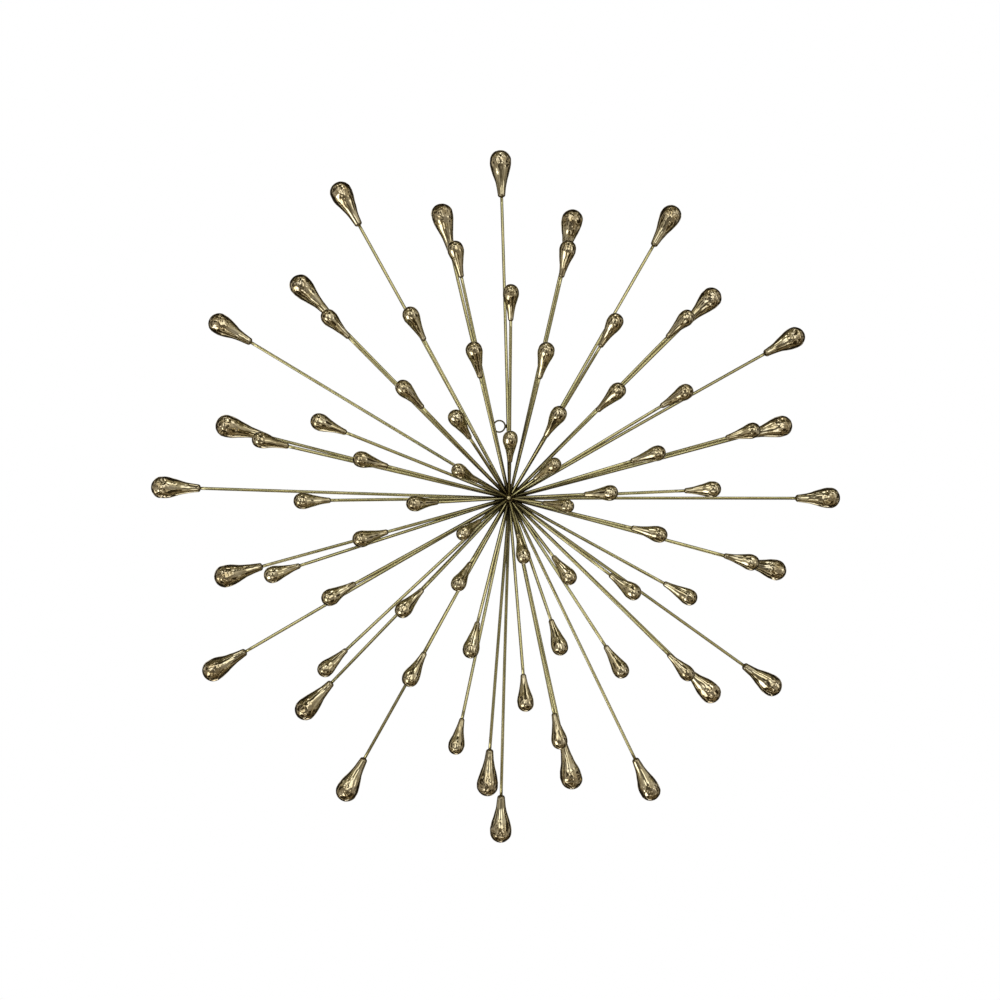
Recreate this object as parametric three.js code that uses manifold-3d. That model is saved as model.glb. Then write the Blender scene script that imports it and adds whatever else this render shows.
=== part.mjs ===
import * as THREE from 'three';
import { mergeVertices } from 'three/addons/utils/BufferGeometryUtils.js';
import Module from 'manifold-3d';

// Sunburst wall piece: 72 straight brass rods in seven tiers radiate from one
// small hub, and each rod ends in a metal teardrop.
// Millimetres. +X right, +Z up, the front faces -Y, the wall is on the +Y side.
// The origin is the middle of the hub's flat back face.

// ---------------------------------------------------------------- dimensions
const ROD_R = 1.6;            // 1/8 in brass rod
const ROD_SIDES_LARGE = 10;
const ROD_SIDES_SMALL = 8;
const ROD_START = 6.6;        // where the rods of the five rear tiers begin
const ROD_START_FRONT = 3.9;  // where the two front tiers begin, inside the collar
const NEIGHBOUR_GAP = 0.16;   // half of the gap kept between tapered rod ends

const DROP_LARGE = { length: 49.5, width: 22.2 };
const DROP_SMALL = { length: 37.5, width: 16.6 };
// distance from the tip and radius, both as shares of the length and half width
const PROFILE_LARGE = [[0.036, 0.50], [0.12, 0.82], [0.23, 0.99], [0.33, 0.985], [0.44, 0.82],
  [0.57, 0.615], [0.71, 0.46], [0.87, 0.385], [0.955, 0.37], [1.0, 0.21]];
const PROFILE_SMALL = [[0.045, 0.52], [0.15, 0.88], [0.285, 1.0], [0.45, 0.80],
  [0.66, 0.49], [0.87, 0.37], [0.965, 0.355], [1.0, 0.235]];
const FACET_SWELL = 1.025;    // keeps a faceted drop as thick as the round one

// tier: lean towards the front in degrees, level of the rod axes on the hub
const TIERS = {
  A: { lean: -6.0, level: -5.6, drop: DROP_LARGE, profile: PROFILE_LARGE, sides: ROD_SIDES_LARGE },
  B: { lean: -2.5, level: -8.6, drop: DROP_LARGE, profile: PROFILE_LARGE, sides: ROD_SIDES_LARGE },
  C: { lean: 5.0, level: -10.6, drop: DROP_SMALL, profile: PROFILE_SMALL, sides: ROD_SIDES_SMALL },
  D: { lean: 10.5, level: -13.4, drop: DROP_SMALL, profile: PROFILE_SMALL, sides: ROD_SIDES_SMALL },
  E: { lean: 14.5, level: -16.4, drop: DROP_SMALL, profile: PROFILE_SMALL, sides: ROD_SIDES_SMALL },
  F: { lean: 24.0, level: -19.2, drop: DROP_SMALL, profile: PROFILE_SMALL, sides: ROD_SIDES_SMALL },
  G: { lean: 32.0, level: -22.0, drop: DROP_SMALL, profile: PROFILE_SMALL, sides: ROD_SIDES_SMALL },
};

// each ray: nominal direction, direction it was brazed at, length from the hub
// axis to the tip, width of its drop
const RAYS = {
  A: [[0, 359.9, 360.2, 21.91], [30, 28.9, 365.7, 22.06], [60, 59.5, 357.6, 21.87], [90, 90.8, 364.0, 22.26],
    [120, 118.4, 371.5, 22.68], [150, 148.7, 357.7, 21.69], [180, 178.1, 366.2, 22.67], [210, 210.3, 362.5, 22.55],
    [240, 241.3, 357.5, 22.33], [270, 269.1, 361.4, 22.55], [300, 296.5, 357.0, 22.11], [330, 325.0, 360.2, 22.27]],
  B: [[15, 14.6, 309.4, 21.97], [45, 44.3, 309.0, 21.44], [75, 76.8, 305.9, 21.87], [105, 103.1, 309.8, 22.31],
    [135, 134.4, 314.3, 22.54], [165, 165.7, 307.2, 22.65], [195, 195.3, 310.2, 22.46], [225, 226.0, 309.8, 21.98],
    [255, 265.8, 307.8, 21.61], [285, 282.8, 309.1, 22.55], [315, 316.3, 305.5, 21.90], [345, 345.0, 303.7, 21.14]],
  C: [[15, 15.6, 267.4, 16.30], [45, 45.8, 266.6, 16.12], [75, 77.3, 268.9, 17.21], [105, 102.9, 267.0, 16.69],
    [135, 135.5, 267.9, 16.37], [165, 166.9, 268.6, 16.51], [195, 197.4, 261.8, 16.74], [225, 222.2, 263.0, 16.20],
    [255, 257.2, 265.6, 16.33], [285, 281.2, 260.6, 16.44], [315, 315.3, 263.6, 15.54], [345, 345.0, 265.4, 16.62]],
  D: [[0, 2.5, 215.6, 16.42], [30, 31.7, 217.2, 16.38], [60, 60.0, 217.7, 17.11], [90, 90.8, 218.1, 16.20],
    [120, 119.5, 222.0, 16.69], [150, 158.6, 220.8, 17.20], [180, 180.5, 223.0, 16.40], [210, 208.0, 220.4, 16.83],
    [240, 239.9, 219.2, 17.33], [270, 273.3, 217.7, 16.85], [300, 302.2, 216.8, 16.75], [330, 330.8, 217.1, 16.81]],
  E: [[15, 17.3, 166.3, 15.92], [45, 45.8, 164.5, 16.68], [75, 77.5, 165.2, 17.01], [105, 105.2, 166.9, 16.93],
    [135, 135.1, 169.4, 16.46], [165, 165.7, 171.0, 16.42], [195, 194.7, 171.7, 16.62], [225, 224.9, 170.2, 16.67],
    [255, 253.9, 170.7, 16.74], [285, 287.4, 169.8, 16.84], [315, 322.0, 167.0, 16.91], [345, 346.1, 165.7, 16.54]],
  F: [[0, 3.0, 114.4, 16.03], [60, 61.9, 112.8, 16.57], [120, 125.8, 116.7, 16.46], [180, 182.8, 117.4, 15.83],
    [240, 236.3, 118.9, 15.47], [300, 305.0, 113.4, 16.20]],
  G: [[30, 38.5, 70.7, 15.02], [90, 92.8, 78.3, 15.35], [150, 153.7, 79.9, 14.90], [210, 214.9, 79.6, 14.11],
    [270, 280.1, 77.1, 14.38], [330, 351.6, 72.5, 14.23]],
};

// the hub leans a little: sideways and upward shift of its axis per millimetre in front of the wall side
const LEAN_X = 0.17, LEAN_Z = -0.045;

// hub spindle: flat back plate, core, slim front pin with a rounded knob
const HUB = {
  plateR: 8.0, plateT: 2.6, coreR: 6.0, coreEnd: 17.2, pinR: 2.3, domeStart: 24.4, end: 26.0, sides: 24,
};
// front collar on the pin, which carries tiers F and G
const COLLAR = { innerR: 2.6, outerR: 4.2, back: -17.6, front: -24.0, sides: 24 };

// hanging ring, lying flat beside the top rod of tier A
const RING = { wireR: 0.85, bendR: 5.95, x: -10.7, y: 2.2, z: 74.3, around: 28, across: 8 };

// braze web that ties each tier C rod to the tier B rod behind it
const WEB = { from: 6.9, to: 15.0, halfWidth: 0.85 };

// ---------------------------------------------------------------- materials
const rodBrass = { color: 0xb6a36a, roughness: 0.38, metalness: 1.0 };
const dropBronze = { color: 0x8c7a58, roughness: 0.2, metalness: 1.0 };
const hubBrass = { color: 0xc2b07a, roughness: 0.35, metalness: 1.0 };
const ringBrass = { color: 0x7d7656, roughness: 0.45, metalness: 1.0 };

// ---------------------------------------------------------------- helpers
const wasm = await Module();
wasm.setup();

function positionsOnly(geometry) {
  const g = geometry.index ? geometry.toNonIndexed() : geometry.clone();
  const bare = new THREE.BufferGeometry();
  bare.setAttribute('position', g.getAttribute('position').clone());
  const merged = mergeVertices(bare, 1e-5);
  const idx = merged.index.array;
  const keep = [];
  for (let i = 0; i < idx.length; i += 3) {
    const [a, b, c] = [idx[i], idx[i + 1], idx[i + 2]];
    if (a !== b && b !== c && c !== a) keep.push(a, b, c);
  }
  merged.setIndex(keep);
  return merged;
}

function signedVolume(geometry) {
  const p = geometry.getAttribute('position');
  const idx = geometry.index.array;
  const a = new THREE.Vector3(), b = new THREE.Vector3(), c = new THREE.Vector3();
  let v = 0;
  for (let i = 0; i < idx.length; i += 3) {
    a.fromBufferAttribute(p, idx[i]);
    b.fromBufferAttribute(p, idx[i + 1]);
    c.fromBufferAttribute(p, idx[i + 2]);
    v += a.dot(b.cross(c)) / 6;
  }
  return v;
}

function outward(geometry) {
  const g = positionsOnly(geometry);
  if (signedVolume(g) < 0) {
    const idx = Array.from(g.index.array);
    for (let i = 0; i < idx.length; i += 3) [idx[i + 1], idx[i + 2]] = [idx[i + 2], idx[i + 1]];
    g.setIndex(idx);
  }
  return g;
}

function toManifold(geometry) {
  const g = outward(geometry);
  return new wasm.Manifold(new wasm.Mesh({
    numProp: 3,
    vertProperties: new Float32Array(g.getAttribute('position').array),
    triVerts: new Uint32Array(g.index.array),
  }));
}

function fromManifold(solid) {
  const m = solid.getMesh();
  const g = new THREE.BufferGeometry();
  const pos = new Float32Array((m.vertProperties.length / m.numProp) * 3);
  for (let i = 0; i < pos.length / 3; i += 1) {
    pos[i * 3] = m.vertProperties[i * m.numProp];
    pos[i * 3 + 1] = m.vertProperties[i * m.numProp + 1];
    pos[i * 3 + 2] = m.vertProperties[i * m.numProp + 2];
  }
  g.setAttribute('position', new THREE.BufferAttribute(pos, 3));
  g.setIndex(Array.from(m.triVerts));
  return g;
}

const rad = THREE.MathUtils.degToRad;

function direction(azimuth, lean) {
  const a = rad(azimuth), e = rad(lean);
  return new THREE.Vector3(Math.cos(e) * Math.cos(a), -Math.sin(e), Math.cos(e) * Math.sin(a));
}

// the point of the leaning hub axis at one level
function axisAt(level) {
  return new THREE.Vector3(LEAN_X * level, level, LEAN_Z * level);
}

// half the smallest angle to a neighbour in the same level of the hub
function halfGap(azimuth, others) {
  let best = 180;
  for (const o of others) {
    const d = Math.abs(((o - azimuth + 540) % 360) - 180);
    if (d > 0.01) best = Math.min(best, d);
  }
  return rad(best / 2);
}

// one rod with its drop, turned about its own axis
function rayGeometry(tierName, ray, start, others) {
  const tier = TIERS[tierName];
  const [, azimuth, tip, width] = ray;
  const share = width / tier.drop.width;
  const length = tier.drop.length * (0.35 + 0.65 * share) * (tierName === 'F' ? 0.96 : 1);
  const half = (width / 2) * FACET_SWELL;
  const s = Math.sin(halfGap(azimuth, others));
  const endR = Math.min(start > 5 ? 1.3 : 0.9, start * s - NEIGHBOUR_GAP);
  const fullAt = Math.max(start + 4, (ROD_R + NEIGHBOUR_GAP) / s + 0.4);
  const pts = [new THREE.Vector2(0, start), new THREE.Vector2(endR, start), new THREE.Vector2(ROD_R, fullAt)];
  const prof = tier.profile;
  pts.push(new THREE.Vector2(ROD_R, tip - length));
  for (let i = prof.length - 1; i >= 0; i -= 1) {
    const [u, r] = prof[i];
    pts.push(new THREE.Vector2(Math.max(r * half, ROD_R + 0.25), tip - u * length + (i === prof.length - 1 ? 0.02 : 0)));
  }
  pts.push(new THREE.Vector2(0, tip));
  const g = new THREE.LatheGeometry(pts, tier.sides);
  const q = new THREE.Quaternion().setFromUnitVectors(new THREE.Vector3(0, 1, 0), direction(azimuth, tier.lean));
  g.applyQuaternion(q);
  const c = axisAt(tier.level);
  g.translate(c.x, c.y, c.z);
  return g;
}

function turned(points, sides) {
  // profile in (radius, distance in front of the wall side), axis along Y and then leaned
  const g = new THREE.LatheGeometry(points.map(([r, d]) => new THREE.Vector2(r, -d)), sides);
  const p = g.getAttribute('position');
  for (let i = 0; i < p.count; i += 1) {
    const y = p.getY(i);
    p.setXYZ(i, p.getX(i) + LEAN_X * y, y, p.getZ(i) + LEAN_Z * y);
  }
  return g;
}

// thin web between two rods, a closed hexahedron
function webGeometry(tierA, azA, tierB, azB) {
  const corner = (tierName, az, r, side) => {
    const t = TIERS[tierName];
    const d = direction(az, t.lean);
    const across = new THREE.Vector3(-Math.sin(rad(az)), 0, Math.cos(rad(az)));
    return d.multiplyScalar(r / Math.cos(rad(t.lean))).add(axisAt(t.level))
      .addScaledVector(across, side * WEB.halfWidth);
  };
  const v = [];
  for (const r of [WEB.from, WEB.to]) {
    for (const [t, az] of [[tierA, azA], [tierB, azB]]) {
      v.push(corner(t, az, r, -1), corner(t, az, r, 1));
    }
  }
  const pos = [];
  for (const p of v) pos.push(p.x, p.y, p.z);
  const faces = [[0, 1, 3, 2], [4, 6, 7, 5], [0, 4, 5, 1], [2, 3, 7, 6], [0, 2, 6, 4], [1, 5, 7, 3]];
  const idx = [];
  for (const [a, b, c, d] of faces) idx.push(a, b, c, a, c, d);
  const g = new THREE.BufferGeometry();
  g.setAttribute('position', new THREE.Float32BufferAttribute(pos, 3));
  g.setIndex(idx);
  return g;
}

const group = new THREE.Group();
group.name = 'sunburst';

function addMesh(name, geometry, look) {
  const g = geometry.index ? outward(geometry) : outward(geometry);
  g.computeVertexNormals();
  const mesh = new THREE.Mesh(g, new THREE.MeshStandardMaterial(look));
  mesh.name = name;
  mesh.material.name = name;
  group.add(mesh);
}

const label = (n) => String(n).padStart(3, '0');
const azimuths = (t) => RAYS[t].map((r) => r[1]);

// ---------------------------------------------------------------- hub
addMesh('hub_spindle', turned([
  [0, 0], [HUB.plateR - 0.5, 0], [HUB.plateR, 0.5], [HUB.plateR, HUB.plateT - 0.4], [HUB.plateR - 0.4, HUB.plateT],
  [HUB.coreR, HUB.plateT], [HUB.coreR, HUB.coreEnd - 0.5], [HUB.coreR - 0.5, HUB.coreEnd],
  [HUB.pinR, HUB.coreEnd], [HUB.pinR, HUB.domeStart], [HUB.pinR * 0.8, HUB.domeStart + 1.0],
  [HUB.pinR * 0.42, HUB.end - 0.15], [0, HUB.end],
], HUB.sides), hubBrass);

// ---------------------------------------------------------------- tier A, D, E: one node per ray
for (const t of ['A', 'D', 'E']) {
  for (const ray of RAYS[t]) {
    addMesh(`ray_${t}_${label(ray[0])}`, rayGeometry(t, ray, ROD_START, azimuths(t)), t === 'A' ? dropBronze : dropBronze);
  }
}

// ---------------------------------------------------------------- tiers B and C: brazed pairs
RAYS.B.forEach((rayB, i) => {
  const rayC = RAYS.C[i];
  const b = toManifold(rayGeometry('B', rayB, ROD_START, azimuths('B')));
  const c = toManifold(rayGeometry('C', rayC, ROD_START, azimuths('C')));
  const web = toManifold(webGeometry('B', rayB[1], 'C', rayC[1]));
  addMesh(`pair_BC_${label(rayB[0])}`, fromManifold(b.add(c).add(web)), dropBronze);
});

// ---------------------------------------------------------------- tiers F and G on the collar
let front = toManifold(turned([
  [COLLAR.innerR, -COLLAR.back], [COLLAR.outerR - 0.3, -COLLAR.back], [COLLAR.outerR, -COLLAR.back + 0.3],
  [COLLAR.outerR, -COLLAR.front - 0.5], [COLLAR.outerR - 0.5, -COLLAR.front], [COLLAR.innerR, -COLLAR.front],
  [COLLAR.innerR, -COLLAR.back],
], COLLAR.sides));
for (const t of ['F', 'G']) {
  for (const ray of RAYS[t]) {
    front = front.add(toManifold(rayGeometry(t, ray, ROD_START_FRONT, azimuths(t))));
  }
}
addMesh('cluster_FG', fromManifold(front), dropBronze);

// ---------------------------------------------------------------- hanging ring
const ring = new THREE.TorusGeometry(RING.bendR, RING.wireR, RING.across, RING.around);
ring.rotateX(Math.PI / 2);
ring.translate(RING.x, RING.y, RING.z);
addMesh('hanging_ring', ring, ringBrass);

export default group;
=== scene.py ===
import math
import random

import bpy
import bmesh
from mathutils import Matrix, Quaternion, Vector, noise


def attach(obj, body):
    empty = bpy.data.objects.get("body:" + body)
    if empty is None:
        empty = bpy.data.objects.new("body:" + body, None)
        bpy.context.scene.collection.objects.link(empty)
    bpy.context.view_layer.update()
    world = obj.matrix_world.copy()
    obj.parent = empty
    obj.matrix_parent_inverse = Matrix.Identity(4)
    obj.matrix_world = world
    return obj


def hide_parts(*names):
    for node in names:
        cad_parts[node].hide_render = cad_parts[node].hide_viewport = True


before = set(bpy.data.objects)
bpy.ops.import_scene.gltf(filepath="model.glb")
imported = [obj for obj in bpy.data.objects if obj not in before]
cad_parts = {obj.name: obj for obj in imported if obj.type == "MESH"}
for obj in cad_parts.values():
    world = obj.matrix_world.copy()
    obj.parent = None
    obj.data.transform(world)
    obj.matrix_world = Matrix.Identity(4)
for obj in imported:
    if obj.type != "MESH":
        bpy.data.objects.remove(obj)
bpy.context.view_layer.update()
MM = 0.001

# ------------------------------------------------------------------ the part
ROD_R = 1.6
ROD_START, ROD_START_FRONT, NEIGHBOUR_GAP = 6.6, 3.9, 0.16
LEAN_X, LEAN_Z = 0.17, -0.045      # the hub's axis leans by this much for each millimetre of depth
LARGE = {"length": 49.5, "width": 22.2}
SMALL = {"length": 37.5, "width": 16.6}
TIERS = {
    "A": (-6.0, -5.6, LARGE), "B": (-2.5, -8.6, LARGE), "C": (5.0, -10.6, SMALL),
    "D": (10.5, -13.4, SMALL), "E": (14.5, -16.4, SMALL), "F": (24.0, -19.2, SMALL), "G": (32.0, -22.0, SMALL),
}
RAYS = {
    "A": [[0, 359.9, 360.2, 21.91], [30, 28.9, 365.7, 22.06], [60, 59.5, 357.6, 21.87], [90, 90.8, 364.0, 22.26],
      [120, 118.4, 371.5, 22.68], [150, 148.7, 357.7, 21.69], [180, 178.1, 366.2, 22.67], [210, 210.3, 362.5, 22.55],
      [240, 241.3, 357.5, 22.33], [270, 269.1, 361.4, 22.55], [300, 296.5, 357.0, 22.11], [330, 325.0, 360.2, 22.27]],
    "B": [[15, 14.6, 309.4, 21.97], [45, 44.3, 309.0, 21.44], [75, 76.8, 305.9, 21.87], [105, 103.1, 309.8, 22.31],
      [135, 134.4, 314.3, 22.54], [165, 165.7, 307.2, 22.65], [195, 195.3, 310.2, 22.46], [225, 226.0, 309.8, 21.98],
      [255, 265.8, 307.8, 21.61], [285, 282.8, 309.1, 22.55], [315, 316.3, 305.5, 21.90], [345, 345.0, 303.7, 21.14]],
    "C": [[15, 15.6, 267.4, 16.30], [45, 45.8, 266.6, 16.12], [75, 77.3, 268.9, 17.21], [105, 102.9, 267.0, 16.69],
      [135, 135.5, 267.9, 16.37], [165, 166.9, 268.6, 16.51], [195, 197.4, 261.8, 16.74], [225, 222.2, 263.0, 16.20],
      [255, 257.2, 265.6, 16.33], [285, 281.2, 260.6, 16.44], [315, 315.3, 263.6, 15.54], [345, 345.0, 265.4, 16.62]],
    "D": [[0, 2.5, 215.6, 16.42], [30, 31.7, 217.2, 16.38], [60, 60.0, 217.7, 17.11], [90, 90.8, 218.1, 16.20],
      [120, 119.5, 222.0, 16.69], [150, 158.6, 220.8, 17.20], [180, 180.5, 223.0, 16.40], [210, 208.0, 220.4, 16.83],
      [240, 239.9, 219.2, 17.33], [270, 273.3, 217.7, 16.85], [300, 302.2, 216.8, 16.75], [330, 330.8, 217.1, 16.81]],
    "E": [[15, 17.3, 166.3, 15.92], [45, 45.8, 164.5, 16.68], [75, 77.5, 165.2, 17.01], [105, 105.2, 166.9, 16.93],
      [135, 135.1, 169.4, 16.46], [165, 165.7, 171.0, 16.42], [195, 194.7, 171.7, 16.62], [225, 224.9, 170.2, 16.67],
      [255, 253.9, 170.7, 16.74], [285, 287.4, 169.8, 16.84], [315, 322.0, 167.0, 16.91], [345, 346.1, 165.7, 16.54]],
    "F": [[0, 3.0, 114.4, 16.03], [60, 61.9, 112.8, 16.57], [120, 125.8, 116.7, 16.46], [180, 182.8, 117.4, 15.83],
      [240, 236.3, 118.9, 15.47], [300, 305.0, 113.4, 16.20]],
    "G": [[30, 38.5, 70.7, 15.02], [90, 92.8, 78.3, 15.35], [150, 153.7, 79.9, 14.90], [210, 214.9, 79.6, 14.11],
      [270, 280.1, 77.1, 14.38], [330, 351.6, 72.5, 14.23]],
}
RING = {"wire": 0.85, "bend": 5.95, "x": -10.7, "y": 2.2, "z": 74.3}
# distance from the tip and radius, in mm, for a drop 48.5 long and 21.4 wide
LARGE_PROFILE = [(0, 0), (0.5, 3.25), (2, 6.2), (5, 9.1), (9, 10.6), (13, 10.7), (18, 10.0), (22, 9.0), (26, 7.8),
                 (30, 6.6), (34, 5.6), (38, 4.85), (42, 4.35), (45.4, 3.9)]
SMALL_PROFILE = [(0, 0), (0.45, 2.6), (1.7, 4.95), (4, 7.0), (7, 8.1), (10.5, 8.3), (14.5, 7.5), (18.5, 6.3), (22.5, 5.25),
                 (26.5, 4.25), (30.5, 3.5), (34.6, 2.95)]


def spline(points, x):
    """Monotone cubic through the points."""
    xs = [p[0] for p in points]
    ys = [p[1] for p in points]
    n = len(xs)
    if x <= xs[0]:
        return ys[0]
    if x >= xs[-1]:
        return ys[-1]
    h = [xs[i + 1] - xs[i] for i in range(n - 1)]
    d = [(ys[i + 1] - ys[i]) / h[i] for i in range(n - 1)]
    m = [0.0] * n
    m[0], m[-1] = d[0], d[-1]
    for i in range(1, n - 1):
        if d[i - 1] * d[i] > 0:
            w1, w2 = 2 * h[i] + h[i - 1], h[i] + 2 * h[i - 1]
            m[i] = (w1 + w2) / (w1 / d[i - 1] + w2 / d[i])
    i = max(k for k in range(n - 1) if xs[k] <= x)
    t = (x - xs[i]) / h[i]
    return (ys[i] * (1 + 2 * t) * (1 - t) ** 2 + h[i] * m[i] * t * (1 - t) ** 2
            + ys[i + 1] * t * t * (3 - 2 * t) + h[i] * m[i + 1] * t * t * (t - 1))


def new_object(name, verts, faces, smooth=True):
    mesh = bpy.data.meshes.new(name)
    mesh.from_pydata([tuple(v) for v in verts], [], faces)
    mesh.validate()
    mesh.update()
    bm = bmesh.new()
    bm.from_mesh(mesh)
    bmesh.ops.recalc_face_normals(bm, faces=bm.faces)
    bm.to_mesh(mesh)
    bm.free()
    for p in mesh.polygons:
        p.use_smooth = smooth
    obj = bpy.data.objects.new(name, mesh)
    bpy.context.scene.collection.objects.link(obj)
    return obj


def revolve(rings, sides, wobble=None):
    """rings: (height, radius) in mm, closed at both ends. Returns vertices in metres and faces."""
    verts, faces = [], []
    start = len(verts)
    verts.append(Vector((0, 0, rings[0][0])))
    for z, r in rings:
        for k in range(sides):
            a = 2 * math.pi * k / sides
            p = Vector((r * math.cos(a), r * math.sin(a), z))
            if wobble:
                p = wobble(p, r, z)
            verts.append(p)
    verts.append(Vector((0, 0, rings[-1][0])))
    last = len(verts) - 1
    for k in range(sides):
        k2 = (k + 1) % sides
        faces.append((start, 1 + k2, 1 + k))
        for j in range(len(rings) - 1):
            a, b = 1 + j * sides, 1 + (j + 1) * sides
            faces.append((a + k, a + k2, b + k2, b + k))
        e = 1 + (len(rings) - 1) * sides
        faces.append((e + k, e + k2, last))
    return [v * MM for v in verts], faces


def direction(azimuth, lean):
    a, e = math.radians(azimuth), math.radians(lean)
    return Vector((math.cos(e) * math.cos(a), -math.sin(e), math.cos(e) * math.sin(a)))


def ray_matrix(tier, azimuth):
    lean, level, _ = TIERS[tier]
    d = direction(azimuth, lean)
    q = Vector((0, 0, 1)).rotation_difference(d)
    return Matrix.Translation(Vector((LEAN_X * level, level, LEAN_Z * level)) * MM) @ q.to_matrix().to_4x4()


def half_gap(tier, azimuth):
    best = 180.0
    for r in RAYS[tier]:
        d = abs((r[1] - azimuth + 540) % 360 - 180)
        if d > 0.01:
            best = min(best, d)
    return math.radians(best / 2)


# ------------------------------------------------------------------ materials
def nodes_of(mat):
    mat.use_nodes = True
    nt = mat.node_tree
    nt.nodes.clear()
    out = nt.nodes.new("ShaderNodeOutputMaterial")
    bsdf = nt.nodes.new("ShaderNodeBsdfPrincipled")
    nt.links.new(bsdf.outputs["BSDF"], out.inputs["Surface"])
    return nt, bsdf


def noise_tex(nt, vec, scale, detail=3.0, rough=0.5, distort=0.0):
    n = nt.nodes.new("ShaderNodeTexNoise")
    n.inputs["Scale"].default_value = scale
    n.inputs["Detail"].default_value = detail
    n.inputs["Roughness"].default_value = rough
    n.inputs["Distortion"].default_value = distort
    nt.links.new(vec, n.inputs["Vector"])
    return n.outputs["Fac"]


def ramp(nt, fac, stops):
    r = nt.nodes.new("ShaderNodeValToRGB")
    els = r.color_ramp.elements
    while len(els) > 1:
        els.remove(els[-1])
    els[0].position, els[0].color = stops[0][0], (*stops[0][1], 1)
    for pos, col in stops[1:]:
        e = els.new(pos)
        e.color = (*col, 1)
    nt.links.new(fac, r.inputs["Fac"])
    return r.outputs["Color"]


def mix(nt, fac, a, b, mode="MIX"):
    m = nt.nodes.new("ShaderNodeMix")
    m.data_type, m.blend_type = "RGBA", mode
    m.clamp_factor = True
    if isinstance(fac, (int, float)):
        m.inputs[0].default_value = fac
    else:
        nt.links.new(fac, m.inputs[0])
    for sock, v in ((m.inputs[6], a), (m.inputs[7], b)):
        if isinstance(v, tuple):
            sock.default_value = (*v, 1)
        else:
            nt.links.new(v, sock)
    return m.outputs[2]


def map_range(nt, v, a, b, c, d, smooth=False):
    m = nt.nodes.new("ShaderNodeMapRange")
    m.interpolation_type = "SMOOTHSTEP" if smooth else "LINEAR"
    m.inputs[1].default_value, m.inputs[2].default_value = a, b
    m.inputs[3].default_value, m.inputs[4].default_value = c, d
    nt.links.new(v, m.inputs[0])
    return m.outputs[0]


def math_node(nt, op, a, b=None):
    m = nt.nodes.new("ShaderNodeMath")
    m.operation = op
    for i, v in enumerate((a, b)):
        if v is None:
            continue
        if isinstance(v, (int, float)):
            m.inputs[i].default_value = v
        else:
            nt.links.new(v, m.inputs[i])
    return m.outputs[0]


def local_coords(nt, stretch=(1, 1, 1)):
    """Object coordinates, moved by a different amount on each piece so that no two carry the same marks."""
    tc = nt.nodes.new("ShaderNodeTexCoord")
    info = nt.nodes.new("ShaderNodeObjectInfo")
    comb = nt.nodes.new("ShaderNodeCombineXYZ")
    for i, k in enumerate((3.7, 5.3, 2.9)):
        nt.links.new(math_node(nt, "MULTIPLY", info.outputs["Random"], k), comb.inputs[i])
    add = nt.nodes.new("ShaderNodeVectorMath")
    add.operation = "ADD"
    nt.links.new(tc.outputs["Object"], add.inputs[0])
    nt.links.new(comb.outputs[0], add.inputs[1])
    mp = nt.nodes.new("ShaderNodeVectorMath")
    mp.operation = "MULTIPLY"
    mp.inputs[1].default_value = stretch
    nt.links.new(add.outputs[0], mp.inputs[0])
    return mp.outputs[0], tc.outputs["Object"], info.outputs["Random"]


def attribute(nt, name):
    a = nt.nodes.new("ShaderNodeAttribute")
    a.attribute_name = name
    return a.outputs["Fac"]


def bump(nt, bsdf, layers):
    prev = None
    for height, strength, dist in layers:
        b = nt.nodes.new("ShaderNodeBump")
        b.inputs["Strength"].default_value = strength
        b.inputs["Distance"].default_value = dist
        nt.links.new(height, b.inputs["Height"])
        if prev is not None:
            nt.links.new(prev, b.inputs["Normal"])
        prev = b.outputs["Normal"]
    nt.links.new(prev, bsdf.inputs["Normal"])


def rod_material():
    mat = bpy.data.materials.new("satin_brass_rod")
    nt, bsdf = nodes_of(mat)
    streak, obj, rnd = local_coords(nt, (1, 1, 0.04))
    even, _, _ = local_coords(nt)
    draw = noise_tex(nt, streak, 1100, 2.0, 0.5)
    along = noise_tex(nt, even, 22, 3.0, 0.55)
    spots = noise_tex(nt, even, 260, 3.0, 0.6)
    base = ramp(nt, along, [(0.30, (0.64, 0.60, 0.29)), (0.50, (0.76, 0.725, 0.385)), (0.70, (0.86, 0.83, 0.51))])
    fine = ramp(nt, draw, [(0.35, (0.68, 0.63, 0.33)), (0.65, (0.80, 0.76, 0.44))])
    col = mix(nt, 0.25, base, fine)
    tarnish = map_range(nt, spots, 0.60, 0.76, 0.0, 0.16, True)
    col = mix(nt, tarnish, col, (0.36, 0.29, 0.13))
    green = map_range(nt, noise_tex(nt, even, 34, 2.0, 0.5), 0.50, 0.68, 0.0, 0.50, True)
    col = mix(nt, green, col, (0.50, 0.54, 0.31))
    piece = map_range(nt, rnd, 0.0, 1.0, 0.0, 0.22)
    col = mix(nt, piece, col, (0.52, 0.46, 0.24))
    side = attribute(nt, "painted_flank_shade")       # painted shade: each rod's flanks, turned away from the front, are darkened in the colour
    col = mix(nt, side, col, (0.080, 0.058, 0.026))
    # braze scorch and painted shade: the rods' inner ends near the hub are darkened in the colour, partly for heat
    # marks, partly for the shade where the rear rods crowd together
    scorch_and_hub_shade = attribute(nt, "scorch_and_hub_shade")
    col = mix(nt, scorch_and_hub_shade, col, (0.050, 0.034, 0.016))
    nt.links.new(col, bsdf.inputs["Base Color"])
    bsdf.inputs["Metallic"].default_value = 1.0
    rough = map_range(nt, draw, 0.3, 0.7, 0.15, 0.22)
    rough = math_node(nt, "ADD", rough, math_node(nt, "MULTIPLY", tarnish, 0.25))
    nt.links.new(rough, bsdf.inputs["Roughness"])
    bump(nt, bsdf, [(draw, 0.08, 0.00003), (along, 0.2, 0.0002)])
    return mat


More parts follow.
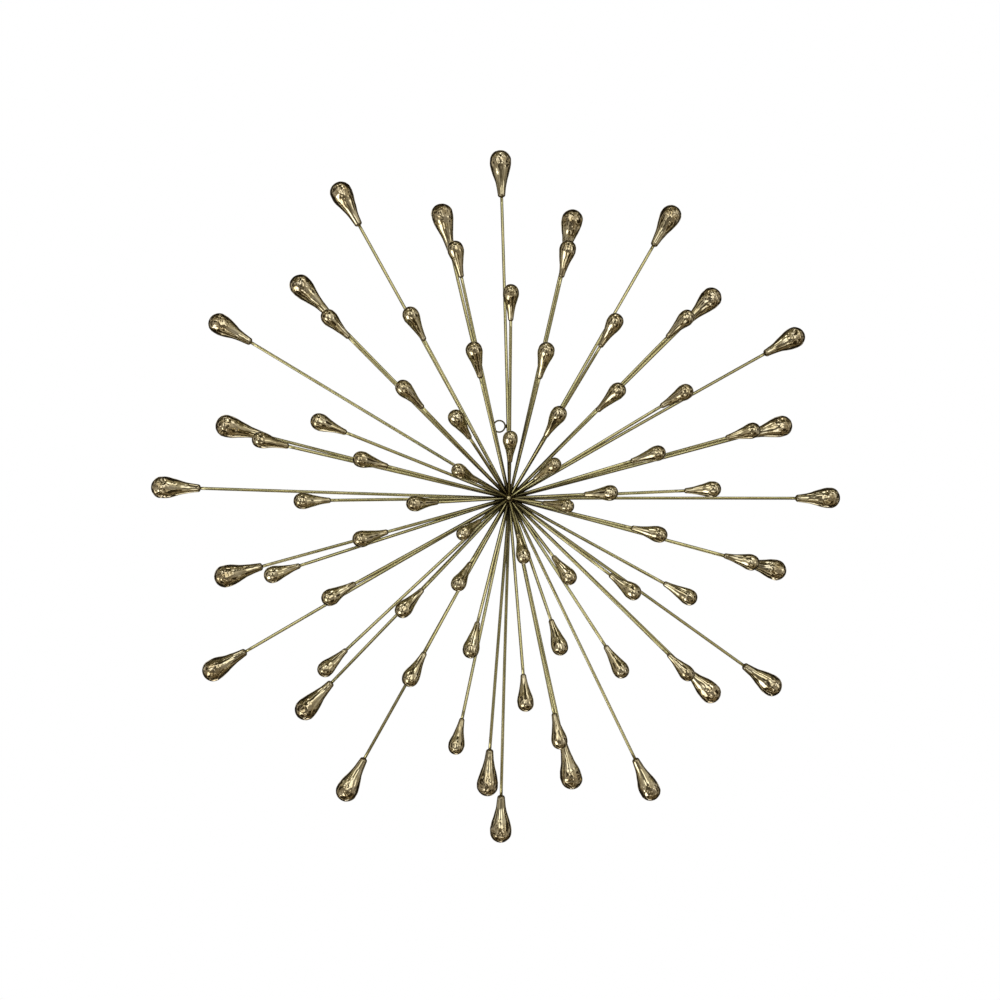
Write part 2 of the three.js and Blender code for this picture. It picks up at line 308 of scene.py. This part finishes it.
def drop_material():
    mat = bpy.data.materials.new("polished_bronze_drop")
    nt, bsdf = nodes_of(mat)
    even, obj, rnd = local_coords(nt)
    streak, _, _ = local_coords(nt, (1, 1, 0.18))
    patches = noise_tex(nt, even, 95, 3.0, 0.55, 0.3)
    mottle = noise_tex(nt, even, 190, 2.0, 0.5, 0.5)
    pits = noise_tex(nt, even, 1500, 2.0, 0.5)
    brush = noise_tex(nt, streak, 900, 2.0, 0.5)
    base = ramp(nt, patches, [(0.32, (0.61, 0.535, 0.335)), (0.50, (0.745, 0.68, 0.47)), (0.68, (0.86, 0.81, 0.62))])
    brown = ramp(nt, mottle, [(0.40, (0.34, 0.245, 0.115)), (0.60, (0.84, 0.745, 0.56))])
    belly = attribute(nt, "belly")
    col = mix(nt, math_node(nt, "MULTIPLY", belly, 0.55), base, brown)
    piece = map_range(nt, rnd, 0.0, 1.0, 0.0, 0.22)
    col = mix(nt, piece, col, (0.46, 0.36, 0.21))
    neck = attribute(nt, "neck")
    col = mix(nt, neck, col, (0.10, 0.068, 0.032))
    nt.links.new(col, bsdf.inputs["Base Color"])
    bsdf.inputs["Metallic"].default_value = 1.0
    rough = map_range(nt, patches, 0.35, 0.70, 0.09, 0.04)
    rough = math_node(nt, "ADD", rough, map_range(nt, pits, 0.58, 0.78, 0.0, 0.08, True))
    nt.links.new(rough, bsdf.inputs["Roughness"])
    beaten = math_node(nt, "ADD", math_node(nt, "MULTIPLY", belly, 0.92), 0.08)
    hammer = math_node(nt, "MULTIPLY", noise_tex(nt, even, 165, 1.0, 0.4, 0.3), beaten)
    bump(nt, bsdf, [(hammer, 1.0, 0.0016), (brush, 0.15, 0.0001), (pits, 0.10, 0.00003)])
    return mat


def braze_material():
    mat = bpy.data.materials.new("braze_metal")
    nt, bsdf = nodes_of(mat)
    even, obj, rnd = local_coords(nt)
    lumps = noise_tex(nt, even, 420, 3.0, 0.6)
    flux_and_shade = noise_tex(nt, even, 160, 3.0, 0.6)
    col = ramp(nt, lumps, [(0.30, (0.050, 0.034, 0.016)), (0.55, (0.11, 0.080, 0.038)), (0.75, (0.30, 0.25, 0.13))])
    # dark flux patches; on the webs near the hub this darkness also stands for painted shade
    dark = map_range(nt, flux_and_shade, 0.42, 0.60, 0.0, 0.85, True)
    col = mix(nt, dark, col, (0.030, 0.021, 0.011))
    nt.links.new(col, bsdf.inputs["Base Color"])
    bsdf.inputs["Metallic"].default_value = 1.0
    nt.links.new(map_range(nt, flux_and_shade, 0.35, 0.7, 0.28, 0.6), bsdf.inputs["Roughness"])
    bump(nt, bsdf, [(lumps, 0.7, 0.0006)])
    return mat


def hub_material():
    mat = bpy.data.materials.new("turned_hub_brass")
    nt, bsdf = nodes_of(mat)
    even, obj, rnd = local_coords(nt)
    marks = noise_tex(nt, even, 700, 2.0, 0.5)
    stain = noise_tex(nt, even, 180, 3.0, 0.6)
    col = ramp(nt, marks, [(0.3, (0.80, 0.74, 0.46)), (0.7, (0.95, 0.90, 0.64))])
    col = mix(nt, map_range(nt, stain, 0.55, 0.75, 0.0, 0.3, True), col, (0.30, 0.24, 0.11))
    nt.links.new(col, bsdf.inputs["Base Color"])
    bsdf.inputs["Metallic"].default_value = 1.0
    nt.links.new(map_range(nt, stain, 0.3, 0.7, 0.2, 0.42), bsdf.inputs["Roughness"])
    bump(nt, bsdf, [(marks, 0.2, 0.0001)])
    return mat


def ring_material():
    mat = bpy.data.materials.new("dull_brass_wire")
    nt, bsdf = nodes_of(mat)
    even, obj, rnd = local_coords(nt)
    wear = noise_tex(nt, even, 260, 3.0, 0.6)
    fine = noise_tex(nt, even, 1600, 2.0, 0.5)
    col = ramp(nt, wear, [(0.34, (0.15, 0.13, 0.075)), (0.55, (0.27, 0.245, 0.155)), (0.74, (0.44, 0.40, 0.27))])
    nt.links.new(col, bsdf.inputs["Base Color"])
    bsdf.inputs["Metallic"].default_value = 1.0
    nt.links.new(map_range(nt, wear, 0.3, 0.7, 0.5, 0.32), bsdf.inputs["Roughness"])
    bump(nt, bsdf, [(fine, 0.3, 0.00008)])
    return mat


MAT = {"rod": rod_material(), "drop": drop_material(), "braze": braze_material(), "hub": hub_material(), "ring": ring_material()}


def finish_piece(obj, mat, nodes):
    obj.data.materials.clear()
    obj.data.materials.append(MAT[mat])
    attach(obj, "root")
    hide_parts(*nodes)


def set_attribute(obj, name, values):
    att = obj.data.attributes.new(name, "FLOAT", "POINT")
    att.data.foreach_set("value", values)


# ------------------------------------------------------------------ rods and drops
def drop_size(tier, width):
    spec = TIERS[tier][2]
    share = width / spec["width"]
    length = spec["length"] * (0.35 + 0.65 * share) * (0.96 if tier == "F" else 1.0)
    return length


def make_rod(tier, ray, node, index):
    _, azimuth, tip, width = ray
    start = ROD_START_FRONT if tier in "FG" else ROD_START
    length = drop_size(tier, width)
    s = math.sin(half_gap(tier, azimuth))
    end_r = min(0.9 if tier in "FG" else 1.3, start * s - NEIGHBOUR_GAP)
    full_at = max(start + 4, (ROD_R + NEIGHBOUR_GAP) / s + 0.4)
    stop = tip - length + 6.0     # the rod runs on into the drop's socket
    rng = random.Random(f"rod{tier}{index}")
    rings = [(start, end_r * 0.75), (start + 0.15, end_r)]
    z = start + 0.15
    for k in (0.35, 0.7):
        zz = start + (full_at - start) * k
        rings.append((zz, end_r + (ROD_R - end_r) * k))
    rings.append((full_at, ROD_R))
    for zz in (18, 23, 28, 33):
        if zz > full_at + 1:
            rings.append((zz, ROD_R))
    full_at = rings[-1][0]
    count = max(4, int((stop - full_at) / 14))
    for k in range(1, count + 1):
        rings.append((full_at + (stop - full_at) * k / count, ROD_R * (1 + rng.uniform(-0.012, 0.012))))
    # a rod is never dead straight: a slow bow of a fraction of a millimetre
    bow_a, bow = rng.uniform(0, 2 * math.pi), rng.uniform(0.15, 0.55) * (stop / 300) ** 1.5
    bx, by = bow * math.cos(bow_a), bow * math.sin(bow_a)

    def wobble(p, r, z):
        t = (z - start) / (stop - start)
        k = math.sin(math.pi * t)
        return Vector((p.x + bx * k, p.y + by * k, p.z))

    verts, faces = revolve(rings, 20, wobble)
    obj = new_object(f"rod_{tier}_{ray[0]:03d}", verts, faces)
    scorch_and_shade_values, painted_flank_values = [], []
    turn = ray_matrix(tier, azimuth).to_3x3()
    for v in verts:
        d = v.z / MM
        t = (d - start) / (stop - start)
        k = math.sin(math.pi * t)
        # painted shade: the flanks of a rod, turned away from -Y, get a dark colour, more so within 120 mm of the hub
        radial = turn @ Vector((v.x / MM - bx * k, v.y / MM - by * k, 0))
        facing = -radial.y / max(radial.length, 1e-6)
        close = max(0.0, min(1.0, (120 - d) / 60))
        f = max(0.0, min(1.0, (0.82 + 0.12 * close - facing) / (0.50 - 0.14 * close)))
        painted_flank_values.append(f * f * (3 - 2 * f) * (0.24 + 0.73 * close))
        n = 0.5 + 0.5 * noise.noise(Vector((v.x * 900 + index, v.y * 900, v.z * 160)))
        # darker within 30 mm of the hub: part braze scorch, part painted shade where the crowded rear rods lie in
        # shade; the front tiers F and G, which stay lit, get a quarter of it
        h = max(0.0, min(1.0, (30 - d) / 16)) * (0.50 + 0.75 * n)
        if tier in "FG":
            h *= 0.25
        tail = max(0.0, 1 - abs(d - (tip - length)) / 3.5) * 0.65   # solder stain at the drop's mouth
        scorch_and_shade_values.append(min(0.95, max(h, tail)))
    set_attribute(obj, "scorch_and_hub_shade", scorch_and_shade_values)
    set_attribute(obj, "painted_flank_shade", painted_flank_values)
    obj.matrix_world = ray_matrix(tier, azimuth)
    finish_piece(obj, "rod", [node])
    return obj


def make_drop(tier, ray, node, index):
    _, azimuth, tip, width = ray
    big = tier in "AB"
    prof = LARGE_PROFILE if big else SMALL_PROFILE
    length = drop_size(tier, width)
    nominal_len = 48.5 if big else 37.5
    nominal_r = 10.7 if big else 8.3
    ks, kr = length / nominal_len, (width / 2) / nominal_r
    end = prof[-1][0]
    rows = 34 if big else 28
    sides = 40 if big else 32
    rings = []
    for i in range(rows + 1):
        t = i / rows
        s = end * (1 - math.cos(t * math.pi / 2) ** 1.0) if t < 0 else end * t ** 1.35
        s = max(s, 0.06)
        r = spline(prof, s)
        if s < 0.5:                      # round nose
            r = spline(prof, 0.5) * math.sqrt(s / 0.5)
        rings.append((tip - s * ks, r * kr))
    # mouth of the socket: rounded lip, turned in to the solder round the rod
    lip = (48.5 - 45.4) if big else (37.5 - 34.6)
    r0 = prof[-1][1] * kr
    for u, k in ((0.25, 0.995), (0.50, 0.955), (0.72, 0.87), (0.88, 0.76), (1.0, 0.62)):
        rings.append((tip - (end + lip * u) * ks, max(r0 * k, ROD_R + 0.35)))
    mouth = tip - (end + lip) * ks
    rings.append((mouth + 0.05, ROD_R + 0.12))
    rings.append((mouth + 0.9, ROD_R - 0.25))
    rings.reverse()
    rng = random.Random(f"drop{tier}{index}")
    seed = Vector((rng.uniform(0, 40), rng.uniform(0, 40), rng.uniform(0, 40)))
    tilt_x, tilt_y = rng.uniform(-0.012, 0.012), rng.uniform(-0.012, 0.012)

    def wobble(p, r, z):
        if z < mouth + 1.0 * ks + 2:
            return p
        d = max(0.0, min(1.0, (z - mouth - 4) / 12))
        q = p * 0.11 + seed
        q2 = p * 0.30 + seed * 1.7
        a = (noise.noise(q) * 0.45 + noise.noise(q2) * 0.13) * d * (1.0 if big else 0.75)
        n = Vector((p.x, p.y, 0)).normalized() if r > 0.01 else Vector((0, 0, 0))
        h = z - mouth
        return p + n * a * min(1.0, r / 4) + Vector((tilt_x * h, tilt_y * h, 0)) * d

    verts, faces = revolve(rings, sides, wobble)
    obj = new_object(f"drop_{tier}_{ray[0]:03d}", verts, faces)
    vals = []
    for v in verts:
        d = v.z / MM - mouth
        n = 0.5 + 0.5 * noise.noise(v * 420 + seed)
        vals.append(min(0.9, max(0.0, 1 - d / 3.2) * (0.5 + 0.6 * n)))
    set_attribute(obj, "neck", vals)
    reach = (26 if big else 19) * ks
    soft = (12 if big else 9) * ks
    fade = 1.0 if big else 0.42
    set_attribute(obj, "belly", [fade * max(0.0, min(1.0, (reach - (tip - v.z / MM)) / soft)) for v in verts])
    obj.matrix_world = ray_matrix(tier, azimuth)
    finish_piece(obj, "drop", [node])
    return obj


for tier, rays in RAYS.items():
    for i, ray in enumerate(rays):
        if tier in "ADE":
            node = f"ray_{tier}_{ray[0]:03d}"
        elif tier in "BC":
            node = f"pair_BC_{ray[0]:03d}"
        else:
            node = "cluster_FG"
        make_rod(tier, ray, node, i)
        make_drop(tier, ray, node, i)


# ------------------------------------------------------------------ hub
def axis_y(verts):
    """Turns a shape revolved about Z so that its +Z end faces -Y, and leans it with the hub's axis."""
    return [Vector((v.x - LEAN_X * v.z, -v.z, v.y - LEAN_Z * v.z)) for v in verts]


hub_rings = [(0.0, 7.3), (0.15, 7.75), (0.5, 8.0), (2.2, 8.0), (2.5, 7.85), (2.6, 7.5), (2.65, 6.2), (2.9, 6.0),
             (16.6, 6.0), (17.0, 5.8), (17.2, 5.5), (17.25, 2.6), (17.5, 2.3), (23.9, 2.3), (24.6, 2.2), (25.2, 1.9),
             (25.7, 1.3), (25.93, 0.7)]
verts, faces = revolve([(0.0, 0.01)] + hub_rings + [(26.0, 0.01)], 48)
hub = new_object("hub_spindle_turned", axis_y(verts), faces)
finish_piece(hub, "hub", ["hub_spindle"])


def braze_ring(name, level, radius, lean, azimuths, thick, node, seed):
    """Lumpy braze that has run between the rod ends of one tier."""
    around, across = 120, 12
    verts, faces = [], []
    lift = radius * math.tan(math.radians(lean))
    for i in range(around):
        a = 2 * math.pi * i / around
        deg = math.degrees(a)
        near = min(abs((deg - z + 540) % 360 - 180) for z in azimuths)
        swell = math.exp(-((near / 7.0) ** 2))
        for j in range(across):
            b = 2 * math.pi * j / across
            n = noise.noise(Vector((math.cos(a) * 3 + seed, math.sin(a) * 3, j * 0.6)))
            rr = thick * (1 + 0.25 * swell + 0.35 * n)
            rad_ = radius + rr * 1.25 * math.cos(b) + (1.4 * swell if math.cos(b) > 0 else 0)
            y = level - lift + rr * math.sin(b)
            verts.append(Vector((rad_ * math.cos(a) + LEAN_X * level, y, rad_ * math.sin(a) + LEAN_Z * level)) * MM)
    for i in range(around):
        for j in range(across):
            i2, j2 = (i + 1) % around, (j + 1) % across
            faces.append((i * across + j, i2 * across + j, i2 * across + j2, i * across + j2))
    obj = new_object(name, verts, faces)
    finish_piece(obj, "braze", [node])
    return obj


def shade_and_braze_web(name, tier, thick, node, seed, reach):
    """Braze that has run out between the rods of a tier and up their corners, burnt dark. The dark sheet also fills the
    gaps between the rods near the hub as painted shade.
    """
    lean, level, _ = TIERS[tier]
    azimuths = [r[1] for r in RAYS[tier]]
    around, steps = 144, 7
    verts, faces = [], []
    rim = []
    for i in range(around):
        deg = 360 * i / around
        near = min(abs((deg - z + 540) % 360 - 180) for z in azimuths)
        n = noise.noise(Vector((math.cos(math.radians(deg)) * 2.5, math.sin(math.radians(deg)) * 2.5, seed)))
        rim.append(reach * (0.62 + 0.38 * math.exp(-((near / 4.5) ** 2)) + 0.13 * n))
    for side in (1, -1):
        for i in range(around):
            a = 2 * math.pi * i / around
            for j in range(steps):
                u = j / (steps - 1)
                r = 4.6 + (rim[i] - 4.6) * u
                n = noise.noise(Vector((r * math.cos(a) * 0.8, r * math.sin(a) * 0.8, seed + side)))
                h = thick * (1 - u ** 2.2) * (1 + 0.4 * n) + 0.04
                y = level - r * math.tan(math.radians(lean)) + side * h
                verts.append(Vector((r * math.cos(a) + LEAN_X * level, y, r * math.sin(a) + LEAN_Z * level)) * MM)
    off = around * steps
    for i in range(around):
        i2 = (i + 1) % around
        for j in range(steps - 1):
            a0, b0 = i * steps + j, i2 * steps + j
            faces.append((a0, b0, b0 + 1, a0 + 1))
            faces.append((off + a0, off + a0 + 1, off + b0 + 1, off + b0))
        faces.append((i * steps, off + i * steps, off + i2 * steps, i2 * steps))
        e = steps - 1
        faces.append((i * steps + e, i2 * steps + e, off + i2 * steps + e, off + i * steps + e))
    obj = new_object(name, verts, faces)
    finish_piece(obj, "braze", [node])
    return obj


# dark webs between the rods near the hub: part braze and flux, part painted shade filling the gaps
for k, (t, reach) in enumerate((("A", 17.5), ("B", 16.5), ("C", 15.0), ("D", 13.5), ("E", 12.0))):
    shade_and_braze_web(f"flux_{t}", t, 1.25, "hub_spindle", 3.3 + 5 * k, reach)

for k, t in enumerate("ABCDE"):
    lean, level, _ = TIERS[t]
    braze_ring(f"braze_{t}", level, 7.4, lean, [r[1] for r in RAYS[t]], 1.15, "hub_spindle", 11.0 + 7 * k)
braze_ring("braze_F", -19.0, 3.9, 24.0, [r[1] for r in RAYS["F"]], 0.95, "cluster_FG", 51.0)
braze_ring("braze_G", -21.6, 3.7, 28.0, [r[1] for r in RAYS["G"]], 0.85, "cluster_FG", 61.0)


# ------------------------------------------------------------------ hanging ring
def make_ring():
    around, across = 72, 16
    verts, faces = [], []
    for i in range(around):
        a = 2 * math.pi * i / around
        bend = RING["bend"] * (1 + 0.012 * math.sin(2 * a + 0.6) + 0.008 * math.sin(3 * a))
        for j in range(across):
            b = 2 * math.pi * j / across
            rr = RING["wire"] * (1 + 0.03 * noise.noise(Vector((math.cos(a) * 4, math.sin(a) * 4, b))))
            q = bend + rr * math.cos(b)
            verts.append(Vector((RING["x"] + q * math.cos(a), RING["y"] + rr * math.sin(b), RING["z"] + q * math.sin(a))) * MM)
    for i in range(around):
        for j in range(across):
            i2, j2 = (i + 1) % around, (j + 1) % across
            faces.append((i * across + j, i2 * across + j, i2 * across + j2, i * across + j2))
    obj = new_object("hanging_ring_wire", verts, faces)
    finish_piece(obj, "ring", ["hanging_ring"])


make_ring()


def blob(name, centre, size, seed, node):
    bm = bmesh.new()
    bmesh.ops.create_icosphere(bm, subdivisions=3, radius=1.0)
    for v in bm.verts:
        k = 1 + 0.22 * noise.noise(v.co * 1.6 + Vector((seed, 0, 0)))
        v.co = Vector((v.co.x * size[0] * k, v.co.y * size[1] * k, v.co.z * size[2] * k)) + Vector(centre)
        v.co *= MM
    mesh = bpy.data.meshes.new(name)
    bm.to_mesh(mesh)
    bm.free()
    for p in mesh.polygons:
        p.use_smooth = True
    obj = bpy.data.objects.new(name, mesh)
    bpy.context.scene.collection.objects.link(obj)
    finish_piece(obj, "braze", [node])


# solder that joins the ring to the top rod
blob("ring_solder", (-3.9, 2.2, 74.3), (0.95, 1.1, 2.1), 3.0, "hanging_ring")


# ------------------------------------------------------------------ floor, light, camera
def floor_material():
    mat = bpy.data.materials.new("pale_floor")
    nt, bsdf = nodes_of(mat)
    tc = nt.nodes.new("ShaderNodeTexCoord")
    grain = noise_tex(nt, tc.outputs["Object"], 40, 3.0, 0.5)
    col = ramp(nt, grain, [(0.3, (0.82, 0.82, 0.81)), (0.7, (0.86, 0.86, 0.85))])
    nt.links.new(col, bsdf.inputs["Base Color"])
    bsdf.inputs["Roughness"].default_value = 0.75
    bsdf.inputs["Emission Color"].default_value = (1.0, 1.0, 0.99, 1)
    bsdf.inputs["Emission Strength"].default_value = 0.30
    return mat


fv = []
ff = []
FLOOR_Z, FLOOR_R = -0.80, 0.75
fv.append(Vector((0, 0, FLOOR_Z)))
for k in range(96):
    a = 2 * math.pi * k / 96
    fv.append(Vector((FLOOR_R * math.cos(a), FLOOR_R * math.sin(a), FLOOR_Z)))
for k in range(96):
    ff.append((0, 1 + k, 1 + (k + 1) % 96))
floor = new_object("floor", fv, ff, smooth=False)
floor.data.materials.append(floor_material())
floor.visible_glossy = False


def area(name, loc, target, size, power, colour=(1, 1, 1)):
    light = bpy.data.lights.new(name, "AREA")
    light.shape, light.size, light.size_y = "RECTANGLE", size[0], size[1]
    light.energy, light.color = power, colour
    obj = bpy.data.objects.new(name, light)
    bpy.context.scene.collection.objects.link(obj)
    obj.location = loc
    obj.rotation_mode = "QUATERNION"
    obj.rotation_quaternion = (Vector(target) - Vector(loc)).to_track_quat("-Z", "Y")
    obj.visible_camera = False
    obj.visible_glossy = False
    return obj


area("key_softbox", (-1.3, -1.3, 2.0), (0, 0, 0), (0.7, 0.7), 22, (1.0, 0.98, 0.94))
area("top_strip", (0.5, -0.5, 2.2), (0, 0, 0), (1.4, 0.35), 12, (1.0, 0.98, 0.95))

world = bpy.data.worlds.new("studio")
bpy.context.scene.world = world
world.use_nodes = True
wt = world.node_tree
wt.nodes.clear()
w_out = wt.nodes.new("ShaderNodeOutputWorld")
w_tc = wt.nodes.new("ShaderNodeTexCoord")


def dot_dir(vec):
    d = wt.nodes.new("ShaderNodeVectorMath")
    d.operation = "DOT_PRODUCT"
    wt.links.new(w_tc.outputs["Generated"], d.inputs[0])
    d.inputs[1].default_value = Vector(vec).normalized()
    return d.outputs["Value"]


def patch(col, vec, inner, outer, colour, strength=1.0):
    """Adds a soft-edged bright or dark card round a direction; inner and outer in degrees."""
    f = map_range(wt, dot_dir(vec), math.cos(math.radians(outer)), math.cos(math.radians(inner)), 0.0, strength, True)
    return mix(wt, f, col, colour)


# a room: dark behind the piece, a tan-grey wall in front, a mottled brown floor low in front
def around_view(angle, off):
    """A direction by its angle in the picture (0 right, 90 up) and its angle off the line to the camera."""
    i, t = math.radians(angle), math.radians(off)
    x, y, z = math.sin(t) * math.cos(i), -math.cos(t), math.sin(t) * math.sin(i)
    c, k = math.cos(math.radians(-7.0)), math.sin(math.radians(-7.0))
    return (x * c - y * k, x * k + y * c, z)


dark = (0.020, 0.016, 0.011)
wall_tex = noise_tex(wt, w_tc.outputs["Generated"], 2.0, 1.0, 0.5)
wall = ramp(wt, wall_tex, [(0.40, (0.27, 0.24, 0.20)), (0.58, (0.54, 0.50, 0.43))])
floor_tex = noise_tex(wt, w_tc.outputs["Generated"], 2.7, 2.0, 0.6, 1.2)
brown = ramp(wt, floor_tex, [(0.41, (0.018, 0.012, 0.006)), (0.50, (0.11, 0.078, 0.036)), (0.56, (0.30, 0.24, 0.15)),
                             (0.64, (0.95, 0.88, 0.74))])
roof = ramp(wt, floor_tex, [(0.40, (0.030, 0.026, 0.014)), (0.50, (0.16, 0.135, 0.075)), (0.58, (0.42, 0.38, 0.27)),
                            (0.66, (1.30, 1.24, 1.10))])
height = dot_dir((0, 0, 1))
front = mix(wt, map_range(wt, height, -0.50, -0.30, 1.0, 0.0, True), wall, brown)
front = mix(wt, map_range(wt, height, 0.42, 0.62, 0.0, 1.0, True), front, roof)
col = mix(wt, map_range(wt, dot_dir(around_view(0, 0)), -0.36, -0.10, 0.0, 1.0, True), dark, front)
for angle, off in ((99, 33), (62, 32), (132, 40)):                            # lamps overhead
    col = patch(col, around_view(angle, off), 4, 9, (1.9, 1.83, 1.7))
for angle, off in ((60, 62), (118, 70), (88, 84)):
    col = patch(col, around_view(angle, off), 3, 7, (2.6, 2.5, 2.3))
for angle, size in ((28, 6), (48, 5), (146, 6)):                              # pale wall over the shoulders
    col = patch(col, around_view(angle, 19), size, size * 1.8, (1.65, 1.60, 1.46))
for angle, off, k in ((212, 18, 0.07), (242, 19, 0.08), (276, 18, 0.16), (306, 19, 0.12), (330, 18, 0.12), (92, 17, 0.10),
                      (62, 7, 0.09)):
    col = patch(col, around_view(angle, off), 5, 9, (k, k * 0.86, k * 0.64))  # someone standing there
col = patch(col, around_view(219, 54), 9, 18, (2.8, 2.7, 2.5))               # window, left and low
col = patch(col, around_view(276, 33), 4, 8, (1.7, 1.63, 1.5))                # lamp, low in front
col = patch(col, around_view(4, 58), 4, 10, (1.6, 1.54, 1.4))                 # right
col = patch(col, around_view(0, 0), 3.0, 6.0, (0.05, 0.045, 0.035))           # the camera
for angle, off, size in ((172, 40, 5), (170, 76, 10), (8, 82, 10), (305, 62, 8), (245, 74, 8), (75, 48, 5), (150, 62, 6)):
    col = patch(col, around_view(angle, off), size, size * 1.8, (0.035, 0.026, 0.014))   # dark things about the room
col = patch(col, around_view(272, 118), 6, 12, (1.9, 1.8, 1.65))              # pale floor under the wall
behind_tex = ramp(wt, floor_tex, [(0.38, (0.10, 0.085, 0.060)), (0.50, (0.42, 0.38, 0.31)), (0.62, (0.95, 0.90, 0.80))])
col = patch(col, around_view(0, 180), 22, 36, behind_tex)                     # the far side of the room
w_bg = wt.nodes.new("ShaderNodeBackground")
wt.links.new(col, w_bg.inputs["Color"])
w_bg.inputs["Strength"].default_value = 1.0
w_white = wt.nodes.new("ShaderNodeBackground")
w_white.inputs["Color"].default_value = (1, 1, 1, 1)
w_white.inputs["Strength"].default_value = 1.0
w_path = wt.nodes.new("ShaderNodeLightPath")
w_mix = wt.nodes.new("ShaderNodeMixShader")
wt.links.new(w_path.outputs["Is Camera Ray"], w_mix.inputs[0])
wt.links.new(w_bg.outputs[0], w_mix.inputs[1])
wt.links.new(w_white.outputs[0], w_mix.inputs[2])
wt.links.new(w_mix.outputs[0], w_out.inputs["Surface"])

bpy.context.scene.view_settings.view_transform = "Standard"
bpy.context.scene.view_settings.look = "None"

YAW, PITCH, DIST = math.radians(7.0), math.radians(0.6), 2.040
TARGET = Vector((0, -0.014, 0))
back = Vector((-math.sin(YAW) * math.cos(PITCH), -math.cos(YAW) * math.cos(PITCH), math.sin(PITCH)))
cam_data = bpy.data.cameras.new("camera")
cam = bpy.data.objects.new("camera", cam_data)
bpy.context.scene.collection.objects.link(cam)
cam_data.sensor_width = 36.0
cam_data.lens = 72.0
cam_data.shift_x = -(511.522 - 500) / 1000
cam_data.shift_y = -(500 - 498.78) / 1000
cam.location = TARGET + back * DIST
cam.rotation_mode = "QUATERNION"
cam.rotation_quaternion = (-back).to_track_quat("-Z", "Y")
cam_data.clip_start, cam_data.clip_end = 0.05, 50.0
bpy.context.scene.camera = cam
